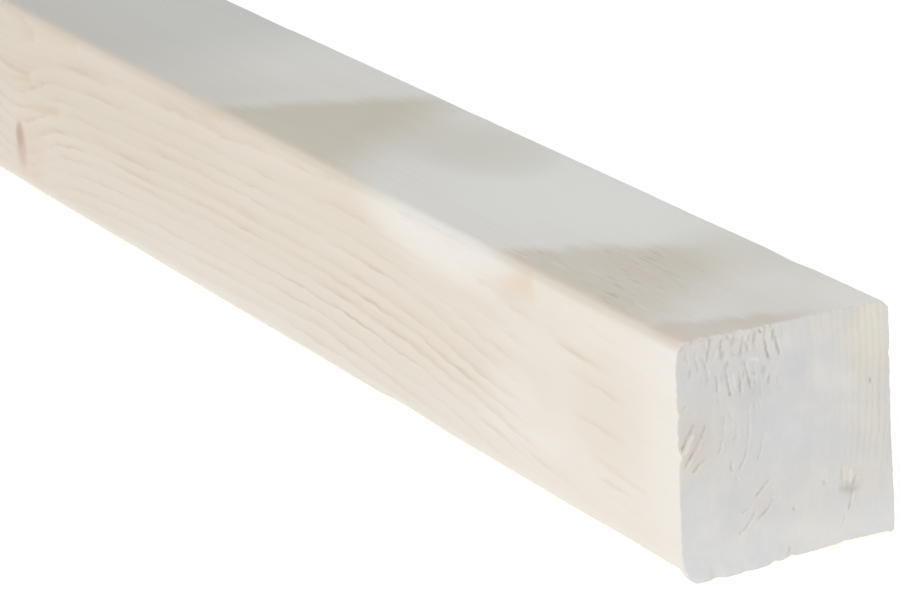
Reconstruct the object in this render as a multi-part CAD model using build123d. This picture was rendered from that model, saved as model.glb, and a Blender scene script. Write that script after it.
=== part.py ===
from build123d import *
import os

# Square planed softwood batten, one length of sawn stock in one piece.
# Millimetres. +X runs along the length, +Z is up, and the origin is at the
# middle of the face that lies on the floor. Front is -Y, back is +Y.

LENGTH = 1000.0            # stock length, from one cross-cut end to the other
WIDTH = 44.0               # finished width, front face to back face (Y)
HEIGHT = 44.0              # finished height, bottom face to top face (Z)
TOP_FRONT_RADIUS = 2.0     # eased long edge between the top and front faces
TOP_BACK_RADIUS = 2.6      # eased long edge between the top and back faces
BOTTOM_FRONT_RADIUS = 4.4  # the most worn long edge, bottom and front faces
BOTTOM_BACK_RADIUS = 1.0   # the sharpest long edge, bottom and back faces
END_BREAK = 0.3            # tiny break where the cross-cut fibres have worn off

# Cross-section: a square whose four corners are eased unevenly, drawn in the
# YZ plane at the far end of the batten.
corner_radii = {
    (-WIDTH / 2, HEIGHT): TOP_FRONT_RADIUS,
    (WIDTH / 2, HEIGHT): TOP_BACK_RADIUS,
    (-WIDTH / 2, 0.0): BOTTOM_FRONT_RADIUS,
    (WIDTH / 2, 0.0): BOTTOM_BACK_RADIUS,
}

with BuildPart() as batten:
    with BuildSketch(Plane.YZ.offset(-LENGTH / 2)) as section:
        with Locations((0, HEIGHT / 2)):
            Rectangle(WIDTH, HEIGHT)
        for (y, z), radius in corner_radii.items():
            corner = section.vertices().sort_by_distance((y, z, 0))[0]
            fillet(corner, radius)
    extrude(amount=LENGTH)
    # The two cross-cut ends are square to the length; only their rims are broken.
    end_rims = (
        batten.faces().sort_by(Axis.X)[0].edges()
        + batten.faces().sort_by(Axis.X)[-1].edges()
    )
    chamfer(end_rims, END_BREAK)

solid = batten.part.solid()
solid.label = "timber_batten"

os.makedirs("parts", exist_ok=True)
export_step(solid, "parts/timber_batten.step")

box = solid.bounding_box()
print("size", box.size.X, box.size.Y, box.size.Z)
print("low", box.min.X, box.min.Y, box.min.Z, "high", box.max.X, box.max.Y, box.max.Z)
print("volume mm3", solid.volume)
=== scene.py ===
import math

import bpy
import numpy as np
from mathutils import Matrix, Vector


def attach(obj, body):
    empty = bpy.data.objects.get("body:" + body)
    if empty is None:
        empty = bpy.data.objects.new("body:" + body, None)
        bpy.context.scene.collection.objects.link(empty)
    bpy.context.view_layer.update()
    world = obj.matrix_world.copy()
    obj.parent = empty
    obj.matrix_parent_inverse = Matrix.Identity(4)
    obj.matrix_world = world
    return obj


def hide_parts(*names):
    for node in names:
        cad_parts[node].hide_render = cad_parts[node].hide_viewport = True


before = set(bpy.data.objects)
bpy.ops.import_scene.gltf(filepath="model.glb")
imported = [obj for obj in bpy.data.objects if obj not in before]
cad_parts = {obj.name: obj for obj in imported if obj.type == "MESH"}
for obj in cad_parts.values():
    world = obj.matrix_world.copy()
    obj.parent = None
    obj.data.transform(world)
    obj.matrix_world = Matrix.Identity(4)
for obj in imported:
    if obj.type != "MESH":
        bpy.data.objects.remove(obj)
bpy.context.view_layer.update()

# --------------------------------------------------------------------------
# Square planed spruce batten. Lengths in millimetres until the mesh is made.
# X runs along the length, the near end is at X = +500. "xp" is measured from
# the near end, so it runs from 0 (near end) to -1000 (far end).
# --------------------------------------------------------------------------
LENGTH, SIDE = 1000.0, 44.0
R_TF, R_TB, R_BF, R_BB = 2.0, 2.6, 4.4, 1.0   # top/bottom, front(-Y)/back(+Y)
R_BF_CUT = 2.4                                # the bottom front edge is fuller at the near cut
CUT_TILT = -0.02                              # the near cut leans back a little
NEAR_X = 500.0 - abs(CUT_TILT) * 22.0         # keeps the near end inside its box


# ----------------------------------------------------------------- noise --
def lattice(ix, iy, iz, seed):
    h = (ix * 374761393 + iy * 668265263 + iz * 1440662683 + seed * 974634599) & 0xFFFFFFFF
    h = ((h ^ (h >> 15)) * 2246822519) & 0xFFFFFFFF
    h = ((h ^ (h >> 13)) * 3266489917) & 0xFFFFFFFF
    h = h ^ (h >> 16)
    return (h & 0xFFFFFF) / float(0x7FFFFF) - 1.0


def noise(x, y, z, seed):
    x, y, z = np.broadcast_arrays(*(np.asarray(a, float) for a in (x, y, z)))
    fx, fy, fz = np.floor(x), np.floor(y), np.floor(z)
    ix, iy, iz = fx.astype(np.int64), fy.astype(np.int64), fz.astype(np.int64)
    u, v, w = x - fx, y - fy, z - fz
    u, v, w = (t * t * t * (t * (t * 6 - 15) + 10) for t in (u, v, w))
    out = np.zeros(x.shape)
    for dx in (0, 1):
        for dy in (0, 1):
            for dz in (0, 1):
                k = (u if dx else 1 - u) * (v if dy else 1 - v) * (w if dz else 1 - w)
                out += k * lattice(ix + dx, iy + dy, iz + dz, seed)
    return out


def fbm(x, y, z, seed, octaves=3):
    total, amp, f = 0.0, 1.0, 1.0
    for k in range(octaves):
        total = total + amp * noise(x * f, y * f, z * f, seed + 17 * k)
        amp *= 0.5
        f *= 2.03
    return total / 1.75


def step01(x, a, b):
    t = np.clip((x - a) / (b - a), 0, 1)
    return t * t * (3 - 2 * t)


# -------------------------------------------------------------- the section --
def side_points(k, r_bf=R_BF):
    """Four boundary runs of the eased square, each k + 1 points from mid-arc to mid-arc,
    with outward normals: bottom (to +Y), back (to +Z), top (to +Y), front (to +Z)."""
    h = SIDE / 2
    # corner: centre, radius, middle angle
    bf = (-h + r_bf, r_bf, r_bf, 225.0)
    bb = (h - R_BB, R_BB, R_BB, 315.0)
    tb = (h - R_TB, SIDE - R_TB, R_TB, 45.0)
    tf = (-h + R_TF, SIDE - R_TF, R_TF, 135.0)

    def run(c0, c1, normal_deg):
        turn0 = ((normal_deg - c0[3] + 180) % 360) - 180
        turn1 = ((c1[3] - normal_deg + 180) % 360) - 180
        a0, a1 = abs(math.radians(turn0)) * c0[2], abs(math.radians(turn1)) * c1[2]
        nx, nz = math.cos(math.radians(normal_deg)), math.sin(math.radians(normal_deg))
        p0 = np.array([c0[0] + nx * c0[2], c0[1] + nz * c0[2]])
        p1 = np.array([c1[0] + nx * c1[2], c1[1] + nz * c1[2]])
        flat = float(np.linalg.norm(p1 - p0))
        s = np.linspace(0, a0 + flat + a1, k + 1)
        pts, nrm = np.zeros((k + 1, 2)), np.zeros((k + 1, 2))
        for i, t in enumerate(s):
            if t < a0:
                ang = math.radians(c0[3] + turn0 * t / a0)
                nrm[i] = math.cos(ang), math.sin(ang)
                pts[i] = c0[0] + c0[2] * nrm[i, 0], c0[1] + c0[2] * nrm[i, 1]
            elif t <= a0 + flat:
                nrm[i] = nx, nz
                pts[i] = p0 + (p1 - p0) * ((t - a0) / flat)
            else:
                ang = math.radians(normal_deg + turn1 * (t - a0 - flat) / a1)
                nrm[i] = math.cos(ang), math.sin(ang)
                pts[i] = c1[0] + c1[2] * nrm[i, 0], c1[1] + c1[2] * nrm[i, 1]
        return pts, nrm

    return {
        "bottom": run(bf, bb, 270.0),
        "back": run(bb, tb, 0.0),
        "top": run(tf, tb, 90.0),
        "front": run(bf, tf, 180.0),
    }


def loop_of(sides, what):
    """The closed outline, counter-clockwise as seen from the near end."""
    b, r, t, f = (sides[n][what] for n in ("bottom", "back", "top", "front"))
    return np.vstack([b[:-1], r[:-1], t[::-1][:-1], f[::-1][:-1]])


def cap_grid(sides, inset):
    """(k+1, k+1, 2) grid of points that fills the outline, drawn in by inset."""
    b, r, t, f = (sides[n][0] - sides[n][1] * inset for n in ("bottom", "back", "top", "front"))
    k = len(b) - 1
    u = np.linspace(0, 1, k + 1)[:, None, None]
    v = np.linspace(0, 1, k + 1)[None, :, None]
    return (
        (1 - v) * b[:, None] + v * t[:, None] + (1 - u) * f[None] + u * r[None]
        - ((1 - u) * (1 - v) * b[0] + u * (1 - v) * b[-1] + (1 - u) * v * t[0] + u * v * t[-1])
    )


# ------------------------------------------------- saw tear-out, near end --
# Torn fibres on the cross cut: points (y, z) along each tear, half width, depth.
TEARS = [
    ([(-19.95, 41.5), (-19.7, 39.7)], 0.22, 0.35),
    ([(-18.1, 41.3), (-17.5, 37.9)], 0.20, 0.40),
    ([(-16.5, 40.1), (-15.7, 37.2)], 0.24, 0.50),
    ([(-16.1, 43.1), (-15.9, 41.7)], 0.20, 0.30),
    ([(-14.5, 39.9), (-13.8, 41.3), (-12.7, 42.4)], 0.22, 0.35),
    ([(-11.5, 43.5), (-10.9, 42.5)], 0.35, 0.55),
    ([(-10.4, 42.6), (-9.0, 42.2)], 0.22, 0.30),
    ([(-10.6, 40.3), (-10.5, 39.8)], 0.32, 0.50),
    ([(-8.0, 42.1), (-7.2, 39.8)], 0.24, 0.45),
    ([(-4.8, 43.2), (-4.6, 42.7)], 0.36, 0.60),
    ([(-4.0, 41.5), (-3.1, 38.0)], 0.30, 0.70),
    ([(-3.3, 38.5), (-3.1, 38.0)], 0.42, 0.55),
    ([(-2.0, 42.4), (-1.5, 40.4), (-0.9, 38.1)], 0.28, 0.60),
    ([(-0.3, 43.5), (-0.2, 41.0)], 0.16, 0.22),
    ([(-5.9, 40.5), (-5.8, 40.2)], 0.26, 0.35),
    ([(-14.0, 36.5), (-13.6, 33.8)], 0.22, 0.45),
    ([(-13.5, 32.2), (-13.5, 31.9)], 0.30, 0.50),
    ([(-12.3, 39.1), (-11.9, 36.5)], 0.18, 0.28),
    ([(-11.8, 36.3), (-11.2, 32.6)], 0.28, 0.62),
    ([(-9.1, 36.3), (-9.0, 32.6)], 0.26, 0.55),
    ([(-8.1, 38.1), (-7.5, 35.4), (-6.9, 33.0)], 0.27, 0.60),
    ([(-6.1, 35.7), (-6.1, 35.4)], 0.26, 0.40),
    ([(-5.4, 37.2), (-4.8, 31.3)], 0.18, 0.22),
    ([(-6.3, 30.8), (-6.1, 28.3)], 0.18, 0.22),
    ([(-5.5, 30.4), (-5.1, 28.3)], 0.16, 0.18),
    ([(-11.3, 29.5), (-11.1, 27.9)], 0.20, 0.25),
    ([(-12.5, 29.0), (-12.7, 25.4), (-13.8, 22.4)], 0.18, 0.28),
    ([(-10.1, 27.4), (-10.1, 24.5), (-10.6, 24.0)], 0.18, 0.25),
    ([(-7.5, 29.9), (-7.7, 24.0), (-8.4, 20.8), (-9.7, 18.5)], 0.18, 0.30),
    ([(-4.7, 24.0), (-5.2, 21.3), (-5.9, 19.7)], 0.18, 0.28),
    ([(-11.3, 20.4), (-11.3, 18.8)], 0.24, 0.40),
    ([(-10.6, 17.6), (-10.4, 16.5)], 0.18, 0.25),
    ([(-18.6, 28.3), (-21.1, 24.5)], 0.34, 0.58),
    ([(-16.5, 27.6), (-17.2, 25.8), (-20.4, 21.3)], 0.32, 0.56),
    ([(-16.8, 21.7), (-19.0, 19.9)], 0.24, 0.45),
    ([(-20.9, 31.3), (-20.2, 32.1)], 0.24, 0.30),
    ([(-3.6, 15.5), (-6.3, 12.9)], 0.24, 0.44),
    ([(-3.1, 13.5), (-3.3, 12.0)], 0.18, 0.25),
    ([(-3.1, 11.5), (-4.0, 10.1), (-5.9, 8.5)], 0.26, 0.44),
    ([(-8.4, 10.8), (-9.3, 10.3)], 0.18, 0.25),
    ([(-6.8, 10.1), (-7.9, 8.1), (-10.0, 6.5)], 0.24, 0.44),
    ([(11.6, 15.4), (11.4, 11.3)], 0.22, 0.35),
    ([(14.4, 12.4), (13.7, 10.4), (12.8, 6.7)], 0.26, 0.50),
    ([(11.2, 10.8), (14.1, 10.1)], 0.55, 0.30),
    ([(17.75, 30.0), (17.85, 29.5)], 0.34, 0.60),
    ([(7.8, 12.8), (7.8, 12.4)], 0.32, 0.50),
    ([(1.3, 9.1), (1.3, 8.8)], 0.30, 0.50),
    ([(-0.6, 0.6), (0.3, 1.9)], 0.24, 0.35),
    ([(11.2, 3.5), (11.9, 5.1)], 0.22, 0.30),
]
# Fibres left standing beside the tears.
RIDGES = [
    ([(-7.0, 38.3), (-5.4, 37.9)], 0.28, 0.22),
    ([(13.4, 13.6), (13.2, 11.4)], 0.30, 0.25),
    ([(-18.9, 26.4), (-20.6, 23.6)], 0.35, 0.30),
    ([(-17.9, 41.5), (-17.2, 38.5)], 0.22, 0.15),
    ([(-2.9, 42.0), (-2.2, 39.0)], 0.26, 0.16),
    ([(-10.3, 36.0), (-10.0, 33.0)], 0.24, 0.16),
]


def along(points, y, z):
    """Distance to a polyline, and how far along it (0..1) the nearest place is."""
    best = np.full(y.shape, 1e9)
    part = np.zeros(y.shape)
    lens = [math.dist(a, b) for a, b in zip(points, points[1:])]
    done, total = 0.0, max(sum(lens), 1e-6)
    for (a, b), n in zip(zip(points, points[1:]), lens):
        dy, dz = b[0] - a[0], b[1] - a[1]
        t = np.clip(((y - a[0]) * dy + (z - a[1]) * dz) / max(n * n, 1e-9), 0, 1)
        d = np.hypot(y - a[0] - t * dy, z - a[1] - t * dz)
        near = d < best
        best = np.where(near, d, best)
        part = np.where(near, (done + t * n) / total, part)
        done += n
    return best, part


def near_relief(y, z):
    """Depth of the near cut below its plane, and a tear value: the tear colour with painted shade in the tears, and
    below zero a painted highlight on the lifted fibres.
    """
    wy = y + 0.12 * noise(y / 0.8, z / 0.8, 0.0, 51)
    wz = z + 0.12 * noise(y / 0.8, z / 0.8, 9.0, 52)
    depth, torn_and_shade = np.zeros(y.shape), np.zeros(y.shape)
    for k, (pts, half, deep) in enumerate(TEARS):
        d, t = along(pts, wy, wz)
        d = d * (1 + 0.35 * noise(y / 0.5, z / 0.5, k * 3.1, 53))
        g = np.exp(-((d / (0.85 * half)) ** 2)) * (0.55 + 0.45 * t)
        g = g * np.clip(0.8 + 0.5 * noise(y / 0.6, z / 0.9, k * 1.7, 54), 0.25, 1.0)
        depth = np.maximum(depth, 0.62 * deep * g)
        torn_and_shade = np.maximum(torn_and_shade, min(1.0, deep / 0.7) * g)
    # Short ragged tears between the long ones, near the top.
    where = step01(y, -21.0, -19.0) * step01(-y, -1.0, 3.0) * step01(z + 0.25 * y, 28.0, 35.5)
    shag = where * np.clip(noise((y - 0.2 * z) / 0.62, z / 2.1, 3.3, 55) - 0.22, 0, 0.6) / 0.6
    depth = np.maximum(depth, 0.34 * shag)
    torn_and_shade = np.maximum(torn_and_shade, 0.55 * shag)
    lift = np.zeros(y.shape)
    # Fibres pushed up along one side of each tear.
    for pts, half, deep in TEARS:
        dy, dz = pts[-1][0] - pts[0][0], pts[-1][1] - pts[0][1]
        size = max(math.hypot(dy, dz), 1e-6)
        ny, nz = (-dz / size, dy / size) if dz < 0 else (dz / size, -dy / size)
        d, t = along(pts, wy - 0.42 * ny, wz - 0.42 * nz)
        lift = np.maximum(lift, 0.32 * deep * np.exp(-((d / 0.26) ** 2)) * (0.4 + 0.6 * t))
    for pts, half, high in RIDGES:
        d, t = along(pts, wy, wz)
        lift = np.maximum(lift, high * np.exp(-((d / half) ** 2)))
    rough = 0.07 * fbm(y / 2.6, z / 3.4, 1.0, 61) + 0.035 * fbm(y / 0.7, z / 1.1, 2.0, 62, 2)
    # The last fibres broke off and left a low lip along the bottom of the cut.
    lip = 2.0 * step01(-z, -5.5, -0.4) * step01(-y, -3.0, 9.0) * (0.86 + 0.24 * noise(y / 2.0, z / 4.0, 0.0, 63))
    return depth - lift + rough - lip, torn_and_shade - np.clip(lift / 0.2, 0, 1) * (1 - torn_and_shade)


def far_relief(y, z):
    rough = 0.06 * fbm(y / 2.2, z / 2.8, 4.0, 71) + 0.04 * fbm(y / 0.8, z / 1.0, 5.0, 72, 2)
    arc = np.hypot(y + 85.0, z - 130.0) + 0.5 * noise(y / 9, z / 9, 3.0, 73)
    saw = 0.045 * np.sin(arc * 2 * np.pi / 2.9) * (0.6 + 0.4 * noise(y / 7, z / 7, 8.0, 75))
    pits = np.clip(noise(y / 0.5, z / 2.0, 6.0, 74) - 0.50, 0, 0.4) * step01(noise(y / 8, z / 6, 9.0, 76), 0.05, 0.5)
    # The second value darkens the pits: their tear colour with painted shade in the hollows.
    return rough + saw + 1.1 * pits, 1.4 * pits


# ------------------------------------------------------ the batten's mesh --
K_LONG, K_NEAR, K_FAR = 64, 192, 128      # columns per side: long faces, near cut, far cut
sides_long, sides_near, sides_far = (side_points(k) for k in (K_LONG, K_NEAR, K_FAR))
sides_cut = side_points(K_NEAR, R_BF_CUT)

near_rows = [0.10, 0.26, 0.5, 0.9, 1.5, 2.4, 3.6]                      # mm back from the cut
long_rows = [3.6 + 1.4 * i + 0.05 * i * i for i in range(1, 14)]
while long_rows[-1] < 345:
    long_rows.append(long_rows[-1] + 4.0)
while long_rows[-1] < 970:
    long_rows.append(long_rows[-1] + 14.0)
long_rows = [r for r in long_rows if r < 988] + [989.0, 993.0, 996.4]
far_rows = [996.4, 998.0, 999.0, 999.5, 999.8]

verts, torn_and_shade_all, end_all, uv_tag = [], [], [], []
faces = []


def full_rim(y, z):
    """1 along the bottom rim where the last fibres were left on, 0 elsewhere."""
    return step01(-z, -1.6, -0.4) * step01(-y, -9.0, -3.0)


def wear(back, pts, nrm):
    """How far each point of an outline is drawn in (mm), back mm from the near end."""
    y, z = pts[:, 0], pts[:, 1]
    on_arc = np.abs(nrm[:, 0] * nrm[:, 1]) * 2          # 1 in the middle of an eased edge
    x = 500.0 - back
    w = 0.05 * fbm(x / 140 + 0 * y, y / 60, z / 60, 11)
    w = w + on_arc * (0.26 * fbm(x / 34, y / 30, z / 30, 12) + 0.18 * fbm(x / 9, y / 20, z / 20, 13))
    for x0, cy, cz, long_mm, round_mm, deep in (
        (438.0, -21, 43, 7.0, 3.0, 0.35),
        (392.0, -21, 1, 9.0, 3.0, 0.40),
        (470.0, 21, 43, 6.0, 2.5, 0.30),
        (305.0, -21, 43, 10.0, 3.0, 0.30),
        (120.0, 21, 43, 12.0, 3.0, 0.40),
        (-140.0, -21, 43, 14.0, 3.0, 0.40),
        (-320.0, 21, 1, 14.0, 3.0, 0.40),
    ):
        w = w + deep * np.exp(-((x - x0) / long_mm) ** 2 - ((y - cy) ** 2 + (z - cz) ** 2) / round_mm**2)
    # The rim of the near cut is ragged where fibres broke away.
    rim = math.exp(-back / 0.7)
    ragged = (0.16 * fbm(y / 1.1, z / 1.1, 3.0, 14) + 0.10) * (1.0 + 1.6 * step01(z, 40.0, 43.0) - 0.7 * full_rim(y, z))
    w = w + rim * ragged
    for cy, cz, size, deep in (
        (-22.0, 22.9, 1.1, 0.75), (-22.0, 30.6, 0.8, 0.45), (-20.6, 42.6, 0.9, 0.35),
        (-6.0, 44.0, 0.8, 0.30), (0.3, 0.0, 0.9, 0.45), (12.0, 0.0, 0.7, 0.30),
        (22.0, 34.0, 0.7, 0.25), (14.0, 0.0, 5.5, 0.50), (-3.5, 0.0, 0.8, 0.35),
    ):
        w = w + deep * math.exp(-back / 1.1) * np.exp(-((y - cy) ** 2 + (z - cz) ** 2) / size**2)
    # The top front edge is worn rounder towards the near cut, most of all at its corner.
    w = w + 0.24 * math.exp(-((back / 60.0) ** 2)) * on_arc * (y < 0) * (z > 22)
    w = w + 0.45 * math.exp(-back / 7.0) * np.exp(-((y + 21.3) ** 2 + (z - 43.3) ** 2) / 1.9**2)
    # The bottom back corner of the cut is a little raised and stands a little proud.
    w = w + 0.50 * math.exp(-back / 3.0) * np.exp(-(((y - 22.0) / 4.0) ** 2)) * np.clip(-nrm[:, 1], 0, 1)
    proud = 0.48 * math.exp(-((back / 40.0) ** 2)) * step01(-z, -20.0, -5.0) * np.clip(nrm[:, 0], 0, 1)
    # The underside stays on the floor and the faces stay within their planes.
    return np.maximum(w, 0.0) - proud


def add(points, torn_and_shade, end):
    start = sum(len(v) for v in verts)
    verts.append(points)
    torn_and_shade_all.append(torn_and_shade)
    end_all.append(end)
    return start + np.arange(len(points))


def sides_behind(back):
    """The near outline back mm from the cut, where the bottom front edge fills out."""
    t = math.exp(-((back / 1.8) ** 2))
    return {
        name: tuple((1 - t) * np.asarray(a) + t * np.asarray(b) for a, b in zip(sides_near[name], sides_cut[name]))
        for name in sides_near
    }


def ring_row(back, sides, end=0.0, sunk=0.0):
    """One outline of the long faces, back mm from the near end; sunk follows the torn rim."""
    pts, nrm = loop_of(sides, 0), loop_of(sides, 1)
    flat = pts - nrm * wear(back, pts, nrm)[:, None]
    lean = CUT_TILT * (flat[:, 1] - 22.0) * step01(np.full(len(flat), -back), -30.0, 0.0)
    x = NEAR_X + lean - back * (NEAR_X + 500.0) / LENGTH - sunk * math.exp(-back / 0.6)
    return add(np.column_stack([x, flat]), np.zeros(len(flat)), np.full(len(flat), end))


def near_plane(yz):
    return NEAR_X + CUT_TILT * (yz[:, 1] - 22.0)


# Near cut: a filled grid whose outer loop carries on into the long faces.
loop_n, norm_n = loop_of(sides_cut, 0), loop_of(sides_cut, 1)
inset_near = wear(0.0, loop_n, norm_n) + 0.13 * (1 - 0.8 * full_rim(loop_n[:, 0], loop_n[:, 1]))
k = K_NEAR
near_sides = {}
split = np.split(inset_near, 4)
whole = {
    "bottom": np.append(split[0], split[1][0]),
    "back": np.append(split[1], split[2][0]),
    "top": np.append(split[2], split[3][0])[::-1],
    "front": np.append(split[3], split[0][0])[::-1],
}
for name in sides_cut:
    p, n = sides_cut[name]
    near_sides[name] = (p - n * whole[name][:, None], n)
grid = cap_grid(near_sides, 0.0).reshape(-1, 2)
depth, torn_and_shade = near_relief(grid[:, 0], grid[:, 1])
near_ids = add(
    np.column_stack([near_plane(grid) - depth, grid]), torn_and_shade, np.ones(len(grid))
).reshape(k + 1, k + 1)
a, b, c, d = near_ids[:-1, :-1], near_ids[1:, :-1], near_ids[1:, 1:], near_ids[:-1, 1:]
faces += np.stack([a, b, c, d], -1).reshape(-1, 4).tolist()
n_near_faces = len(faces)


def rim_loop(ids):
    return np.concatenate([ids[:-1, 0], ids[-1, :-1], ids[1:, -1][::-1], ids[0, 1:][::-1]])


def bridge(near, far):
    nj, fj = np.roll(near, -1), np.roll(far, -1)
    return np.stack([near, far, fj, nj], -1).tolist()


last = rim_loop(near_ids)
rim_depth = np.clip(depth[last], -2.2, 0.5)
for back in near_rows:
    row = ring_row(back, sides_behind(back), end=0.6 if back < 0.2 else 0.0, sunk=rim_depth)
    faces += bridge(last, row)
    last = row
# Three columns at the cut become one along the batten.
row = ring_row(long_rows[0], sides_long)
for j in range(4 * K_LONG):
    f = [last[(3 * j + i) % (4 * K_NEAR)] for i in range(4)]
    c0, c1 = row[j], row[(j + 1) % (4 * K_LONG)]
    faces += [[f[0], c0, f[1]], [f[1], c0, c1, f[2]], [f[2], c1, f[3]]]
last = row
for back in long_rows[1:]:
    row = ring_row(back, sides_long)
    faces += bridge(last, row)
    last = row
# One column along the batten becomes two at the far cut.
row = ring_row(far_rows[1], sides_far)
for j in range(4 * K_LONG):
    f = [row[(2 * j + i) % (4 * K_FAR)] for i in range(3)]
    c0, c1 = last[j], last[(j + 1) % (4 * K_LONG)]
    faces += [[c0, f[0], f[1]], [c0, f[1], c1], [c1, f[1], f[2]]]
last = row
for back in far_rows[2:]:
    row = ring_row(back, sides_far, end=0.6 if back > 999.7 else 0.0)
    faces += bridge(last, row)
    last = row
n_long_faces = len(faces)

grid = cap_grid(sides_far, 0.28).reshape(-1, 2)
depth, torn_and_shade = far_relief(grid[:, 0], grid[:, 1])
far_ids = add(
    np.column_stack([-500.0 + np.clip(depth + 0.12, 0.0, 2.0), grid]), torn_and_shade, np.ones(len(grid))
).reshape(K_FAR + 1, K_FAR + 1)
faces += bridge(last, rim_loop(far_ids))
n_long_faces = len(faces)
a, b, c, d = far_ids[:-1, :-1], far_ids[1:, :-1], far_ids[1:, 1:], far_ids[:-1, 1:]
faces += np.stack([a, d, c, b], -1).reshape(-1, 4).tolist()

co = np.vstack(verts)
co[:, 2] = np.maximum(co[:, 2], 0.0)
mesh = bpy.data.meshes.new("timber_batten_planed")
mesh.from_pydata((co / 1000.0).tolist(), [], faces)
mesh.polygons.foreach_set("use_smooth", np.ones(len(mesh.polygons), bool))
for name, values in (("torn_and_shade", torn_and_shade_all), ("end_grain", end_all)):
    layer = mesh.attributes.new(name, "FLOAT", "POINT")
    layer.data.foreach_set("value", np.concatenate(values).astype(np.float32))

# Flat layout of the skin: four long strips above the two cut ends.
uv = mesh.uv_layers.new(name="OFBake")
loops = np.zeros(len(mesh.loops), np.int32)
mesh.loops.foreach_get("vertex_index", loops)
starts = np.zeros(len(mesh.polygons), np.int32)
counts = np.zeros(len(mesh.polygons), np.int32)
mesh.polygons.foreach_get("loop_start", starts)
mesh.polygons.foreach_get("loop_total", counts)
face_of = np.repeat(np.arange(len(starts)), counts)
p = co[loops]
mid = np.zeros((len(starts), 3))
np.add.at(mid, face_of, p)
mid /= counts[:, None]
my, mz = mid[:, 1] / 22.0, (mid[:, 2] - 22.0) / 22.0
strip = np.where(np.abs(my) > np.abs(mz), np.where(my < 0, 0, 2), np.where(mz > 0, 1, 3))
strip = strip[face_of]
across = np.select([strip == 0, strip == 1, strip == 2], [p[:, 2], p[:, 1] + 22.0, 44.0 - p[:, 2]], 22.0 - p[:, 1])
uvs = np.column_stack([0.01 + 0.98 * (p[:, 0] + 500.0) / 1000.0, 0.235 + 0.19 * strip + 0.183 * across / 44.0])
is_near = face_of < n_near_faces
is_far = face_of >= n_long_faces
cap = np.column_stack([p[:, 1] + 22.0, p[:, 2]]) / 44.0 * 0.215
uvs[is_near] = cap[is_near] + [0.01, 0.008]
uvs[is_far] = cap[is_far] + [0.26, 0.008]
uv.data.foreach_set("uv", uvs.astype(np.float32).ravel())
mesh.validate()
mesh.update()

batten = bpy.data.objects.new("timber_batten_planed", mesh)
bpy.context.scene.collection.objects.link(batten)


# --------------------------------------------------------------- material --
def srgb(r, g, b):
    def lin(c):
        c /= 255.0
        return c / 12.92 if c <= 0.04045 else ((c + 0.055) / 1.055) ** 2.4
    return lin(r), lin(g), lin(b), 1.0


class Graph:
    """Short helpers for building a node tree."""

    def __init__(self, tree):
        self.tree = tree

    def node(self, kind, **props):
        n = self.tree.nodes.new(kind)
        for key, value in props.items():
            setattr(n, key, value)
        return n

    def put(self, socket, value):
        if value is None:
            return
        if isinstance(value, bpy.types.NodeSocket):
            self.tree.links.new(value, socket)
        else:
            socket.default_value = value

    def math(self, op, a, b=None, c=None, clamp=False):
        n = self.node("ShaderNodeMath", operation=op, use_clamp=clamp)
        for s, v in zip(n.inputs, (a, b, c)):
            self.put(s, v)
        return n.outputs[0]

    def add(self, *terms):
        total = terms[0]
        for t in terms[1:]:
            total = self.math("ADD", total, t)
        return total

    def mul(self, *terms):
        total = terms[0]
        for t in terms[1:]:
            total = self.math("MULTIPLY", total, t)
        return total

    def smooth(self, x, lo, hi):
        """0 below lo, 1 above hi, or the other way round if lo is above hi."""
        n = self.node("ShaderNodeMapRange", interpolation_type="SMOOTHSTEP", clamp=True)
        flip = lo > hi
        self.put(n.inputs[0], x)
        n.inputs[1].default_value, n.inputs[2].default_value = (hi, lo) if flip else (lo, hi)
        n.inputs[3].default_value, n.inputs[4].default_value = (1.0, 0.0) if flip else (0.0, 1.0)
        return n.outputs[0]

    def vec(self, x, y, z):
        n = self.node("ShaderNodeCombineXYZ")
        for s, v in zip(n.inputs, (x, y, z)):
            self.put(s, v)
        return n.outputs[0]

    def noise(self, vector, detail=2.0, rough=0.5, distortion=0.0):
        n = self.node("ShaderNodeTexNoise", noise_dimensions="3D")
        self.put(n.inputs["Vector"], vector)
        n.inputs["Scale"].default_value = 1.0
        n.inputs["Detail"].default_value = detail
        n.inputs["Roughness"].default_value = rough
        n.inputs["Distortion"].default_value = distortion
        return n.outputs[0]

    def noise1(self, w, detail=1.0):
        n = self.node("ShaderNodeTexNoise", noise_dimensions="1D")
        self.put(n.inputs["W"], w)
        n.inputs["Scale"].default_value = 1.0
        n.inputs["Detail"].default_value = detail
        return n.outputs[0]

    def white1(self, w):
        n = self.node("ShaderNodeTexWhiteNoise", noise_dimensions="1D")
        self.put(n.inputs["W"], w)
        return n.outputs[0]

    def curve(self, x, points):
        n = self.node("ShaderNodeFloatCurve")
        self.put(n.inputs["Value"], x)
        c = n.mapping.curves[0]
        c.points[0].location = points[0]
        c.points[1].location = points[-1]
        for q in points[1:-1]:
            c.points.new(*q)
        n.mapping.update()
        return n.outputs[0]

    def mix(self, fac, a, b, blend="MIX"):
        n = self.node("ShaderNodeMix", data_type="RGBA", blend_type=blend)
        self.put(n.inputs[0], fac)
        self.put(n.inputs[6], a)
        self.put(n.inputs[7], b)
        return n.outputs[2]

    def attribute(self, name):
        return self.node("ShaderNodeAttribute", attribute_name=name).outputs["Fac"]


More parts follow.
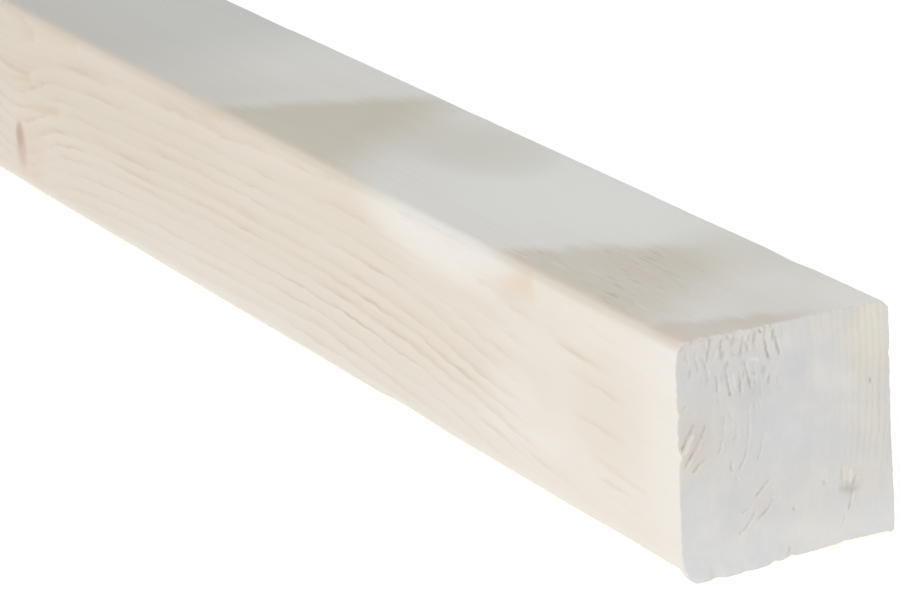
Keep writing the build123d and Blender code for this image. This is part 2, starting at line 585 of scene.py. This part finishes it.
def spruce_material():
    mat = bpy.data.materials.new("planed_spruce")
    mat.use_nodes = True
    tree = mat.node_tree
    tree.nodes.clear()
    g = Graph(tree)
    out = g.node("ShaderNodeOutputMaterial")
    bsdf = g.node("ShaderNodeBsdfPrincipled")
    tree.links.new(bsdf.outputs[0], out.inputs[0])

    # Place in millimetres; X from the near end.
    place = g.node("ShaderNodeTexCoord").outputs["Object"]
    split = g.node("ShaderNodeSeparateXYZ")
    tree.links.new(place, split.inputs[0])
    X = g.math("MULTIPLY_ADD", split.outputs[0], 1000.0, -500.0)
    Y = g.mul(split.outputs[1], 1000.0)
    Z = g.mul(split.outputs[2], 1000.0)
    front = g.smooth(Y, -20.4, -21.6)
    top = g.smooth(Z, 42.2, 43.6)
    end = g.attribute("end_grain")
    torn_and_shade = g.attribute("torn_and_shade")

    def spread(sx, sy, sz, ox=0.0, oy=0.0, oz=0.0):
        """The place in units of sx, sy, sz millimetres."""
        return g.vec(
            g.math("MULTIPLY_ADD", X, 1.0 / sx, ox),
            g.math("MULTIPLY_ADD", Y, 1.0 / sy, oy),
            g.math("MULTIPLY_ADD", Z, 1.0 / sz, oz),
        )

    def blob(a, a0, ra, b, b0, rb):
        """Soft oval: 1 at its middle, 0 outside."""
        da = g.mul(g.math("SUBTRACT", a, a0), 1.0 / ra)
        db = g.mul(g.math("SUBTRACT", b, b0), 1.0 / rb)
        d2 = g.add(g.mul(da, da), g.mul(db, db))
        return g.smooth(d2, 1.0, 0.0)

    # Pith line: it wanders along the tree, just outside the front face.
    t = g.math("MULTIPLY_ADD", X, 0.001, 1.0)
    pith_z = g.mul(
        g.curve(t, [
            (0.0, 0.36), (0.10, 0.34), (0.25, 0.31), (0.40, 0.37), (0.55, 0.36), (0.65, 0.37),
            (0.69, 0.385), (0.73, 0.425), (0.77, 0.45), (0.81, 0.46), (0.85, 0.46),
            (0.90, 0.435), (0.936, 0.385), (0.955, 0.355), (0.98, 0.325), (1.0, 0.31),
        ]), 100.0)
    pith_y = g.math("MULTIPLY_ADD", g.curve(t, [
        (0.0, 0.55), (0.2, 0.40), (0.4, 0.52), (0.6, 0.42), (0.75, 0.46), (0.9, 0.40), (1.0, 0.40),
    ]), 30.0, -39.5)
    dy, dz = g.math("SUBTRACT", Y, pith_y), g.math("SUBTRACT", Z, pith_z)
    # The stem is oval: rings are wider up and down than across.
    ez = g.mul(dz, 0.60)
    r = g.math("SQRT", g.add(g.mul(dy, dy), g.mul(ez, ez)))

    # The rings swell and wave a little from place to place.
    slow = g.math("SUBTRACT", g.noise(spread(85.0, 26.0, 26.0, 3.1), 2.0), 0.5)
    quick = g.math("SUBTRACT", g.noise(spread(13.0, 4.0, 4.0, 7.7), 2.0), 0.5)
    fine = g.math("SUBTRACT", g.noise(spread(5.0, 1.1, 1.1, 4.9), 1.0), 0.5)
    r = g.add(r, g.mul(slow, 2.2), g.mul(quick, 0.80), g.mul(fine, g.math("MULTIPLY_ADD", front, 0.46, 0.34)))

    lump = g.noise(spread(2.8, 2.8, 2.8, 0.4), 1.0)      # unevenness of small shapes

    # Branches: (x at the pith, direction (x, y, z), growth of radius per mm, dark).
    knot_core, knot_rim = None, None
    branches = [
        (-452.0, 0.20, 0.80, 0.57, 0.16, 0.8),
        (-470.0, 0.15, 0.72, -0.68, 0.15, 0.8),
        (-640.0, 0.20, 0.99, 0.05, 0.13, 0.8),
        (-652.0, 0.15, 0.62, -0.77, 0.13, 0.8),
        (-800.0, 0.20, 0.62, 0.76, 0.16, 0.8),
        (-815.0, 0.15, 0.85, -0.50, 0.14, 0.8),
        (-930.0, 0.20, 0.90, 0.40, 0.12, 0.7),
    ]
    # One small knot sits low on the front face; the rings dip towards it.
    bx, bz = g.math("SUBTRACT", X, -294.5), g.mul(g.math("SUBTRACT", Z, 11.0), 0.56)
    small = g.math("SQRT", g.add(g.mul(bx, bx), g.mul(bz, bz)))
    r = g.math("SUBTRACT", r, g.mul(g.smooth(small, 26.0, 0.0), 2.6))
    small = g.add(small, g.mul(g.math("SUBTRACT", lump, 0.5), 1.6))
    small_knot = g.mul(g.smooth(small, 4.0, 1.6), front)
    small_core = g.mul(blob(X, -295.2, 2.6, Z, 13.2, 4.0), front)
    wob = g.math("MULTIPLY_ADD", lump, 0.6, 0.7)
    for x0, nx, ny, nz, grow, dark in branches:
        size = math.sqrt(nx * nx + ny * ny + nz * nz)
        nx, ny, nz = nx / size, ny / size, nz / size
        ax = g.math("SUBTRACT", X, x0)
        s = g.add(g.mul(ax, nx), g.mul(dy, ny), g.mul(dz, nz))
        d2 = g.math("SUBTRACT", g.add(g.mul(ax, ax), g.mul(dy, dy), g.mul(dz, dz)), g.mul(s, s))
        rho = g.math("SQRT", g.math("MAXIMUM", d2, 0.0))
        wide = g.math("MAXIMUM", g.mul(s, grow), 0.2)
        q = g.math("DIVIDE", g.mul(rho, wob), wide)
        ahead = g.smooth(s, 2.0, 6.0)
        mask = g.mul(g.smooth(q, 1.15, 0.75), ahead)
        # Stem rings bend outwards round the branch.
        r = g.math("SUBTRACT", r, g.mul(g.smooth(rho, 26.0, 0.0), ahead, g.mul(wide, 0.85)))
        rim = g.mul(g.smooth(q, 0.45, 0.95), mask, dark)
        rings = g.math("MULTIPLY_ADD", g.math("SINE", g.mul(rho, 6.0)), 0.5, 0.5)
        core = g.mul(mask, g.math("MULTIPLY_ADD", rings, 0.2, 0.8), dark)
        knot_core = core if knot_core is None else g.math("MAXIMUM", knot_core, core)
        knot_rim = rim if knot_rim is None else g.math("MAXIMUM", knot_rim, rim)

    # Ring count: wide rings near the pith, narrow ones further out.
    n = g.mul(g.math("LOGARITHM", g.math("MULTIPLY_ADD", g.math("MINIMUM", r, 80.0), -0.022 / 2.3, 1.0), math.e), -1 / 0.022)
    n = g.add(n, g.mul(g.noise1(g.mul(n, 0.8), 1.0), 0.8))
    frac = g.math("FRACT", n)
    year = g.white1(g.math("FLOOR", n))
    late = g.mul(g.smooth(frac, 0.38, 0.93), g.smooth(frac, 1.0, 0.94))
    thin = g.mul(g.smooth(frac, 0.68, 0.90), g.smooth(frac, 1.0, 0.92))

    # Fibres: long thin streaks along the batten, specks on the cut ends.
    fibre = g.noise(spread(34.0, 0.55, 0.55, 1.3), 3.0, 0.65)
    hair = g.noise(spread(9.0, 0.16, 0.16, 5.9), 1.0, 0.6)
    cloud = g.noise(spread(120.0, 16.0, 16.0, 2.2), 3.0, 0.55)
    waver = g.noise(spread(38.0, 5.0, 5.0, 9.4), 1.0)
    breaks = g.smooth(g.noise(spread(19.0, 2.0, 2.0, 6.6), 1.0), 0.43, 0.63)

    # How strongly the ring lines show: clearest on the middle of the front
    # face, almost gone towards the near end, and weak on the top.
    show = g.add(0.56, g.mul(g.smooth(Y, 6.0, -14.0), blob(X, -96.0, 66.0, Z, 10.0, 24.0)))
    show = g.mul(show, g.math("MULTIPLY_ADD", g.smooth(X, -68.0, -48.0), -0.75, 1.0))
    show = g.mul(show, g.math("MULTIPLY_ADD", top, -0.74, 1.0))
    show = g.mul(show, g.math("MULTIPLY_ADD", g.mul(blob(X, -112.0, 62.0, Z, 33.0, 13.0), front), -0.42, 1.0))
    show = g.mul(show, g.math("MULTIPLY_ADD", g.smooth(waver, 0.36, 0.62), 0.75, 0.35))
    show = g.mul(show, g.math("MULTIPLY_ADD", year, 0.6, 0.6))

    early = g.mix(top, srgb(225, 213, 197), srgb(230, 219, 204))
    blurred = g.mul(blob(X, -235.0, 105.0, Z, 26.0, 60.0), front)
    bands = g.mul(late, show, g.math("MULTIPLY_ADD", breaks, 0.40, 0.56), g.math("MULTIPLY_ADD", blurred, 0.30, 1.0))
    colour = g.mix(bands, early, srgb(211, 194, 173))
    thin = g.mul(thin, g.math("MULTIPLY_ADD", blurred, -0.62, 1.0))
    colour = g.mix(g.mul(thin, show, g.math("MULTIPLY_ADD", breaks, 0.44, 0.04)), colour, srgb(197, 174, 150))
    # The first wood of each ring is the palest.
    first = g.mul(g.smooth(frac, 0.0, 0.05), g.smooth(frac, 0.42, 0.10), show, front)
    colour = g.mix(g.mul(first, 0.15), colour, srgb(242, 234, 222))
    # Slow changes of tone, and fibres.
    colour = g.mix(g.mul(g.smooth(cloud, 0.45, 0.72), 0.30), colour, srgb(219, 205, 187))
    colour = g.mix(g.mul(g.smooth(cloud, 0.50, 0.25), 0.30), colour, srgb(233, 225, 214))
    colour = g.mix(g.mul(g.smooth(fibre, 0.52, 0.80), 0.18), colour, srgb(208, 192, 170))
    colour = g.mix(g.mul(g.smooth(fibre, 0.48, 0.22), 0.18), colour, srgb(238, 232, 222))
    colour = g.mix(g.mul(g.smooth(hair, 0.60, 0.80), 0.08), colour, srgb(196, 178, 154))

    # Front face: pale patch beside the edge knot, and a paler near end.
    pale = g.mul(blob(X, -89.0, 38.0, Z, 40.5, 9.5), front)
    pale = g.mul(pale, g.math("MULTIPLY_ADD", fibre, 1.0, 0.35))
    colour = g.mix(g.mul(pale, 0.68), colour, srgb(241, 237, 230))
    nearer = g.mul(g.smooth(X, -110.0, -12.0), front)
    colour = g.mix(g.mul(nearer, 0.56), colour, srgb(236, 229, 219))
    paler = g.mul(blob(X, -57.0, 22.0, Z, 17.0, 18.0), front, g.smooth(cloud, 0.66, 0.36))
    colour = g.mix(g.mul(paler, 0.48), colour, srgb(240, 236, 229))
    paler = g.mul(blob(X, -162.0, 34.0, Z, 42.0, 5.0), front)
    colour = g.mix(g.mul(paler, 0.22), colour, srgb(238, 230, 218))
    paler = g.mul(g.smooth(X, -15.0, -3.0), front)
    colour = g.mix(g.mul(paler, 0.22), colour, srgb(240, 237, 232))
    # Painted light: the front face is made paler towards the floor, to offset the shade that falls near it.
    low = g.mul(g.smooth(Z, 23.0, 3.0), g.smooth(X, -8.0, -60.0), front)
    low = g.mul(low, g.math("MULTIPLY_ADD", g.smooth(X, -215.0, -275.0), -0.7, 1.0))
    colour = g.mix(g.mul(low, 0.40), colour, srgb(234, 228, 219))
    paler = g.mul(blob(X, -60.0, 13.0, Z, 18.5, 6.5), front)
    colour = g.mix(g.mul(paler, 0.24), colour, srgb(240, 236, 229))
    tanned = g.mul(g.smooth(X, -125.0, -215.0), g.smooth(Z, 17.0, 28.0), front)
    colour = g.mix(g.mul(tanned, 0.20), colour, srgb(212, 197, 179))
    tanned = g.mul(blob(X, -25.0, 17.0, Z, 24.0, 15.0), front)
    colour = g.mix(g.mul(tanned, 0.30), colour, srgb(222, 207, 189))

    # Painted light: the lower front rounded edge is made paler, to offset the shade it gets from facing the floor.
    painted_light_bottom_edge = g.mul(g.smooth(Z, 4.6, 1.2), g.smooth(Y, -14.0, -18.0))
    colour = g.mix(g.mul(painted_light_bottom_edge, 0.55), colour, srgb(233, 230, 225))

    # A few short ring lines are left in the pale near end.
    def stroke(x0, z0, x1, z1, wide, strength, colour):
        ux, uz = x1 - x0, z1 - z0
        size = math.hypot(ux, uz)
        ux, uz = ux / size, uz / size
        px, pz = g.math("SUBTRACT", X, x0), g.math("SUBTRACT", Z, z0)
        a = g.mul(g.add(g.mul(px, ux), g.mul(pz, uz)), 1.0 / size)
        b = g.math("SUBTRACT", g.mul(pz, ux), g.mul(px, uz))
        b = g.add(b, g.mul(quick, 1.6), g.mul(fine, 0.9))
        # Soft above, sharp below.
        body = g.mul(g.smooth(b, wide, 0.0), g.smooth(b, -0.22 * wide, 0.0), g.smooth(a, 0.0, 0.4), g.smooth(a, 1.0, 0.6), front)
        body = g.mul(body, g.math("MULTIPLY_ADD", breaks, 0.6, 0.5))
        return g.mix(g.mul(body, strength), colour, srgb(206, 184, 158))

    for x0, z0, x1, z1, wide, strength in (
        (-48.0, 33.2, -20.0, 31.0, 2.4, 0.46), (-44.0, 28.9, -16.0, 27.0, 1.9, 0.34),
        (-40.0, 20.8, -16.0, 19.5, 1.6, 0.30), (-33.0, 14.2, -6.0, 12.2, 1.5, 0.36),
        (-31.0, 11.0, -15.0, 10.2, 1.2, 0.26), (-60.0, 8.2, -30.0, 5.0, 1.8, 0.22),
        (-36.0, 38.8, -14.0, 37.6, 1.6, 0.16),
    ):
        colour = stroke(x0, z0, x1, z1, wide, strength, colour)

    # Faint resin-stained slivers where small branches leave through the edge.
    def sliver(x0, z0, x1, z1, wide, strength, paint, colour):
        ux, uz = x1 - x0, z1 - z0
        size = math.hypot(ux, uz)
        ux, uz = ux / size, uz / size
        px, pz = g.math("SUBTRACT", X, x0), g.math("SUBTRACT", Z, z0)
        a = g.mul(g.add(g.mul(px, ux), g.mul(pz, uz)), 1.0 / size)
        b = g.math("ABSOLUTE", g.math("SUBTRACT", g.mul(pz, ux), g.mul(px, uz)))
        b = g.add(b, g.mul(g.math("SUBTRACT", lump, 0.5), 0.5))
        w = g.math("MULTIPLY_ADD", a, wide * 0.75, wide * 0.25)
        body = g.mul(g.smooth(g.math("DIVIDE", b, g.math("MAXIMUM", w, 0.05)), 1.5, 0.2),
                     g.smooth(a, 0.0, 0.8), g.smooth(a, 1.05, 0.93), front)
        return g.mix(g.mul(body, strength), colour, paint)

    colour = sliver(-70.0, 37.2, -51.0, 41.2, 3.2, 0.42, srgb(224, 194, 158), colour)
    colour = sliver(-200.0, 40.9, -183.0, 43.6, 2.0, 0.40, srgb(220, 192, 152), colour)
    colour = sliver(-300.0, 39.6, -258.0, 43.4, 3.0, 0.30, srgb(214, 188, 148), colour)
    colour = sliver(-303.0, 25.6, -286.0, 28.4, 1.3, 0.40, srgb(214, 190, 146), colour)
    colour = sliver(-299.0, 19.8, -271.0, 24.0, 1.2, 0.40, srgb(208, 184, 144), colour)

    # Top face: grey-brown areas beyond the edge knots. Each starts sharply on
    # a slanting far side and fades out towards the near end.
    flat_top = g.smooth(Z, 43.2, 43.85)
    streak = g.noise(spread(18.0, 0.8, 0.8, 8.8), 2.0, 0.6)
    sway = g.mul(g.math("SUBTRACT", waver, 0.5), 7.0)

    def top_band(start, lean, soft, full, fade, turn, y_full, y_none, strength, paint, colour):
        slant = g.add(g.math("MULTIPLY_ADD", Y, -lean, X), sway, g.mul(g.math("SUBTRACT", streak, 0.5), 4.5))
        m = g.mul(g.smooth(slant, start - soft, start + soft), g.smooth(g.add(g.math("MULTIPLY_ADD", Y, turn, X), sway), fade, full),
                  g.smooth(Y, y_none, y_full), flat_top)
        m = g.mul(m, g.math("MULTIPLY_ADD", cloud, 0.8, 0.5))
        return g.mix(g.mul(m, strength), colour, paint), m

    # The farthest band is also painted shade: it darkens the far part of the top, where the light falls off.
    colour, m0 = top_band(-420.0, 0.5, 40.0, -250.0, -205.0, 0.0, 30.0, 40.0, 0.85, srgb(208, 199, 186), colour)
    dim = g.mul(g.smooth(Y, 6.0, -20.0), g.smooth(X, -176.0, -196.0), g.smooth(X, -480.0, -360.0), flat_top)
    colour = g.mix(g.mul(dim, 0.46), colour, srgb(205, 192, 172))
    # Painted light: a paler pool on the middle of the top face, where the light falls brighter.
    light = g.mul(blob(X, -88.0, 48.0, Y, 8.0, 27.0), flat_top)
    colour = g.mix(g.mul(light, 0.74), colour, srgb(236, 227, 214))
    light = g.mul(blob(X, -4.0, 17.0, Y, 19.0, 9.0), flat_top)
    colour = g.mix(g.mul(light, 0.70), colour, srgb(236, 226, 212))
    olive = g.mul(blob(X, -128.0, 29.0, Y, 8.5, 16.5), flat_top)
    colour = g.mix(g.mul(olive, 0.55), colour, srgb(213, 202, 181))
    colour, m1 = top_band(-176.5, 0.49, 5.4, -158.0, -130.0, 0.8, 14.0, 34.0, 0.95, srgb(209, 193, 169), colour)
    olive = g.mul(blob(X, -40.0, 19.0, Y, 13.0, 13.0), flat_top)
    colour = g.mix(g.mul(olive, 0.42), colour, srgb(214, 203, 181))
    colour, m2 = top_band(-53.5, 0.58, 4.6, -40.0, -15.0, 0.8, 2.0, 18.0, 0.90, srgb(212, 196, 173), colour)
    colour, m3 = top_band(-5.5, 0.28, 2.5, 40.0, 60.0, 0.0, -4.0, 12.0, 0.75, srgb(209, 191, 170), colour)
    edge = g.mul(blob(X, 0.0, 13.0, Y, -22.0, 6.0), g.smooth(Z, 42.6, 43.4))
    colour = g.mix(g.mul(edge, 0.46), colour, srgb(222, 201, 180))
    torn_top = g.mul(g.smooth(streak, 0.54, 0.72), g.math("MAXIMUM", m2, g.mul(m1, 0.4)), g.smooth(Y, 6.0, -4.0))
    colour = g.mix(g.mul(torn_top, 0.24), colour, srgb(168, 146, 120))
    # The nearer band is blotched pinkish and ripped in short thick strokes.
    mottle = g.noise(spread(9.0, 2.6, 2.6, 12.5), 2.0, 0.55)
    colour = g.mix(g.mul(m2, g.smooth(mottle, 0.50, 0.68), 0.50), colour, srgb(214, 193, 180))
    colour = g.mix(g.mul(m2, g.smooth(mottle, 0.46, 0.30), 0.34), colour, srgb(205, 197, 176))
    stroke_dark = g.noise(spread(8.0, 1.3, 1.3, 15.2), 1.0)
    torn_top = g.mul(m2, g.smooth(Y, 12.0, -2.0))
    colour = g.mix(g.mul(torn_top, g.smooth(stroke_dark, 0.62, 0.74), 0.34), colour, srgb(172, 152, 130))
    colour = g.mix(g.mul(torn_top, g.smooth(stroke_dark, 0.36, 0.27), 0.40), colour, srgb(232, 220, 206))

    # The worn top front edge keeps the front's warm tone: the warmer, darker paint is partly the wood's own tone and
    # partly painted shade that holds down the bright rim the lamps give the rounded edge.
    arc = g.mul(g.smooth(Y, -19.9, -21.0), g.smooth(Z, 41.9, 42.9), g.math("MULTIPLY_ADD", cloud, 0.8, 0.6))
    bare = g.mul(g.smooth(X, -128.0, -104.0), g.smooth(X, -58.0, -74.0))
    arc = g.mul(arc, g.math("MULTIPLY_ADD", bare, -0.8, 1.0))
    colour = g.mix(g.mul(arc, 0.52), colour, srgb(221, 203, 180))

    # Knots: pale and tight.
    flush = g.mul(blob(X, -289.0, 13.0, Z, 11.5, 13.0), front)
    colour = g.mix(g.mul(flush, 0.32), colour, srgb(224, 200, 183))
    colour = g.mix(g.mul(small_knot, 0.60), colour, srgb(203, 178, 158))
    colour = g.mix(g.mul(small_core, 0.44), colour, srgb(176, 146, 128))
    colour = g.mix(g.mul(knot_core, 0.70), colour, srgb(205, 176, 150))
    colour = g.mix(g.mul(knot_rim, 0.55), colour, srgb(172, 138, 114))

    # Cut ends: greyer than the faces, warm towards the bark side and the rim.
    cut = g.mix(g.mul(late, 0.07), srgb(211, 207, 202), srgb(200, 191, 177))
    bark = g.mul(g.smooth(Y, 9.0, 18.0), g.smooth(Z, 10.0, 22.0))
    warm = g.mul(bark, g.math("MULTIPLY_ADD", g.smooth(Z, 28.0, 37.0), 0.60, 0.40))
    warm = g.math("MAXIMUM", warm, g.mul(g.smooth(Y, 2.0, 12.0), g.smooth(Z, 35.0, 42.0), 0.8))
    lined = g.add(g.math("MULTIPLY_ADD", g.math("MAXIMUM", warm, bark), 0.38, 0.02), g.mul(g.smooth(X, -985.0, -992.0), 0.16))
    warm = g.math("MAXIMUM", warm, g.mul(g.smooth(Y, -10.0, -20.0), g.smooth(Z, 35.0, 27.0), g.smooth(Z, 16.0, 21.0)))
    warm = g.math("MAXIMUM", warm, g.mul(g.smooth(Y, 2.0, -6.0), g.smooth(Z, 37.0, 41.0), 0.6))
    warm = g.math("MAXIMUM", warm, g.mul(blob(Y, 15.5, 5.5, Z, 11.0, 6.0), 0.70))
    warm = g.math("MAXIMUM", warm, g.mul(blob(Y, 8.0, 11.0, Z, 3.5, 6.0), 0.45))
    cut = g.mix(g.mul(warm, 0.55), cut, srgb(222, 209, 188))
    cut = g.mix(g.mul(late, lined), cut, srgb(201, 188, 162))
    grit = g.noise(spread(1.0, 0.45, 0.60, 4.4), 2.0, 0.7)
    cut = g.mix(g.mul(g.smooth(grit, 0.52, 0.75), 0.10), cut, srgb(192, 186, 177))
    patch = g.noise(spread(50.0, 9.0, 9.0, 6.1), 2.0, 0.5)
    cut = g.mix(g.mul(g.smooth(patch, 0.44, 0.66), 0.46), cut, srgb(203, 203, 202))
    cut = g.mix(g.mul(g.smooth(patch, 0.50, 0.30), 0.42), cut, srgb(221, 217, 209))
    cut = g.mix(g.mul(g.smooth(Y, 4.0, -14.0), g.smooth(Z, 14.0, 28.0), 0.34), cut, srgb(199, 196, 192))
    # Painted light: the cut is made paler towards the floor, to offset the shade that falls there.
    cut = g.mix(g.mul(g.smooth(Z, 12.0, 2.0), 0.55), cut, srgb(224, 221, 216))
    flecks = g.noise(spread(30.0, 4.2, 4.2, 14.1), 2.0, 0.55)
    cut = g.mix(g.mul(g.smooth(flecks, 0.52, 0.70), 0.20), cut, srgb(222, 217, 206))
    cut = g.mix(g.mul(g.smooth(flecks, 0.47, 0.30), 0.20), cut, srgb(198, 199, 199))
    at_near = g.smooth(X, -20.0, -10.0)
    for y0, ry, z0, rz, strength, paint in (
        (19.0, 6.0, 39.5, 7.0, 0.28, (230, 224, 210)), (2.0, 4.0, 36.0, 4.0, 0.34, (192, 193, 197)),
        (-8.0, 5.5, 32.0, 3.5, 0.30, (192, 190, 188)), (-18.0, 5.0, 11.0, 7.5, 0.22, (226, 223, 218)),
        (-18.8, 4.6, 25.5, 6.0, 0.36, (204, 188, 177)), (0.0, 8.0, 22.5, 8.0, 0.24, (198, 202, 208)),
        (-4.6, 3.2, 11.5, 4.2, 0.26, (214, 200, 188)),
    ):
        cut = g.mix(g.mul(blob(Y, y0, ry, Z, z0, rz), at_near, strength), cut, srgb(*paint))
    cut = g.mix(g.mul(blob(Y, 11.9, 2.4, Z, 13.4, 3.2), at_near, lump, 0.44), cut, srgb(224, 214, 188))
    cut = g.mix(g.mul(blob(Y, 12.9, 2.6, Z, 10.6, 1.7), at_near, lump, 0.95), cut, srgb(184, 180, 168))
    # Painted highlight: lifted fibres (below zero) are made paler. Tears and pits are made darker: partly their tear
    # colour, partly painted shade in the hollows.
    cut = g.mix(g.mul(g.math("MULTIPLY", torn_and_shade, -1.0, clamp=True), 0.46), cut, srgb(230, 227, 221))
    cut = g.mix(g.mul(g.math("MULTIPLY", torn_and_shade, 1.0, clamp=True), 0.54), cut, srgb(160, 142, 124))
    colour = g.mix(end, colour, cut)

    tree.links.new(colour, bsdf.inputs["Base Color"])

    rough = g.add(0.56, g.mul(late, -0.06), g.mul(fibre, 0.10), g.mul(end, 0.22))
    tree.links.new(rough, bsdf.inputs["Roughness"])
    bsdf.inputs["Specular IOR Level"].default_value = 0.35

    # Open fibres.
    height = g.add(g.mul(fibre, 0.9), g.mul(hair, 0.4), g.mul(end, grit, 1.6))
    bump = g.node("ShaderNodeBump")
    bump.inputs["Strength"].default_value = 0.5
    bump.inputs["Distance"].default_value = 0.00006
    tree.links.new(height, bump.inputs["Height"])
    tree.links.new(bump.outputs[0], bsdf.inputs["Normal"])
    return mat


mesh.materials.append(spruce_material())
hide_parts("timber_batten")
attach(batten, "root")


# ------------------------------------------------------ floor and lighting --
def floor_material():
    mat = bpy.data.materials.new("pale_floor")
    mat.use_nodes = True
    tree = mat.node_tree
    g = Graph(tree)
    bsdf = next(n for n in tree.nodes if n.type == "BSDF_PRINCIPLED")
    place = g.node("ShaderNodeTexCoord").outputs["Object"]
    n = g.node("ShaderNodeTexNoise")
    tree.links.new(place, n.inputs["Vector"])
    n.inputs["Scale"].default_value = 3.0
    colour = g.mix(n.outputs[0], (0.41, 0.40, 0.39, 1.0), (0.43, 0.42, 0.41, 1.0))
    tree.links.new(colour, bsdf.inputs["Base Color"])
    bsdf.inputs["Emission Color"].default_value = (1.0, 0.968, 0.932, 1.0)
    bsdf.inputs["Emission Strength"].default_value = 0.725
    bsdf.inputs["Roughness"].default_value = 0.9
    bsdf.inputs["Specular IOR Level"].default_value = 0.1
    return mat


floor_mesh = bpy.data.meshes.new("floor")
F = 60.0
floor_mesh.from_pydata([(-F, -F, 0), (F, -F, 0), (F, F, 0), (-F, F, 0)], [], [(0, 1, 2, 3)])
floor_mesh.materials.append(floor_material())
floor = bpy.data.objects.new("floor", floor_mesh)
floor.location.z = -0.00002
bpy.context.scene.collection.objects.link(floor)


def soft_light(name, at, towards, wide, high, watts, colour):
    data = bpy.data.lights.new(name, "AREA")
    data.shape = "RECTANGLE"
    data.size, data.size_y = wide, high
    data.energy = watts
    data.color = colour
    ob = bpy.data.objects.new(name, data)
    ob.location = at
    ob.rotation_mode = "QUATERNION"
    ob.rotation_quaternion = (Vector(towards) - Vector(at)).to_track_quat("-Z", "Y")
    ob.visible_camera = False
    bpy.context.scene.collection.objects.link(ob)
    return ob


soft_light("key", (0.85, -0.95, 0.55), (0.38, 0.0, 0.02), 0.8, 0.6, 1.1, (1.0, 0.95, 0.905))
soft_light("fill_end", (2.2, 0.5, 0.9), (0.5, 0.0, 0.02), 1.2, 1.2, 1.75, (0.96, 0.985, 1.0))
soft_light("near", (0.75, -0.35, 0.46), (0.47, 0.0, 0.02), 0.35, 0.35, 0.56, (0.99, 0.98, 0.96))

world = bpy.data.worlds.new("studio")
world.use_nodes = True
bg = next(n for n in world.node_tree.nodes if n.type == "BACKGROUND")
# White round the horizon, a little dimmer and cooler overhead.
sky = Graph(world.node_tree)
ray = sky.node("ShaderNodeSeparateXYZ")
world.node_tree.links.new(sky.node("ShaderNodeTexCoord").outputs["Generated"], ray.inputs[0])
tone = sky.mix(sky.smooth(ray.outputs[2], 0.02, 0.45), (1.0, 1.0, 1.0, 1.0), (0.644, 0.722, 0.815, 1.0))
world.node_tree.links.new(tone, bg.inputs["Color"])
bg.inputs["Strength"].default_value = 1.0
bpy.context.scene.world = world

view = bpy.context.scene.view_settings
view.view_transform = "Standard"
view.look = "None"
view.exposure, view.gamma = 0.0, 1.0

# ----------------------------------------------------------------- camera --
AZ, EL, ROLL = 62.519, 17.821, 2.219
DIST, TX, TY, FOCAL_PX = 778.384, -59.027, -24.896, 4433.0
az, el, roll = (math.radians(v) for v in (AZ, EL, ROLL))
back = Vector((math.sin(az) * math.cos(el), -math.cos(az) * math.cos(el), math.sin(el)))
fwd = -back
right = fwd.cross(Vector((0, 0, 1))).normalized()
down = fwd.cross(right)
right, down = math.cos(roll) * right + math.sin(roll) * down, -math.sin(roll) * right + math.cos(roll) * down
eye = (Vector((NEAR_X, 0.0, 22.0)) + right * TX + down * TY + back * DIST) / 1000.0

cam_data = bpy.data.cameras.new("camera")
cam_data.sensor_fit = "HORIZONTAL"
cam_data.sensor_width = 36.0
cam_data.lens = FOCAL_PX * 36.0 / 900.0
cam_data.clip_start, cam_data.clip_end = 0.01, 200.0
cam = bpy.data.objects.new("camera", cam_data)
up = -down
cam.matrix_world = Matrix((
    (right.x, up.x, back.x, eye.x),
    (right.y, up.y, back.y, eye.y),
    (right.z, up.z, back.z, eye.z),
    (0, 0, 0, 1),
))
bpy.context.scene.collection.objects.link(cam)
bpy.context.scene.camera = cam

bpy.context.view_layer.update()
print("triangles", sum(len(q.vertices) - 2 for q in mesh.polygons))
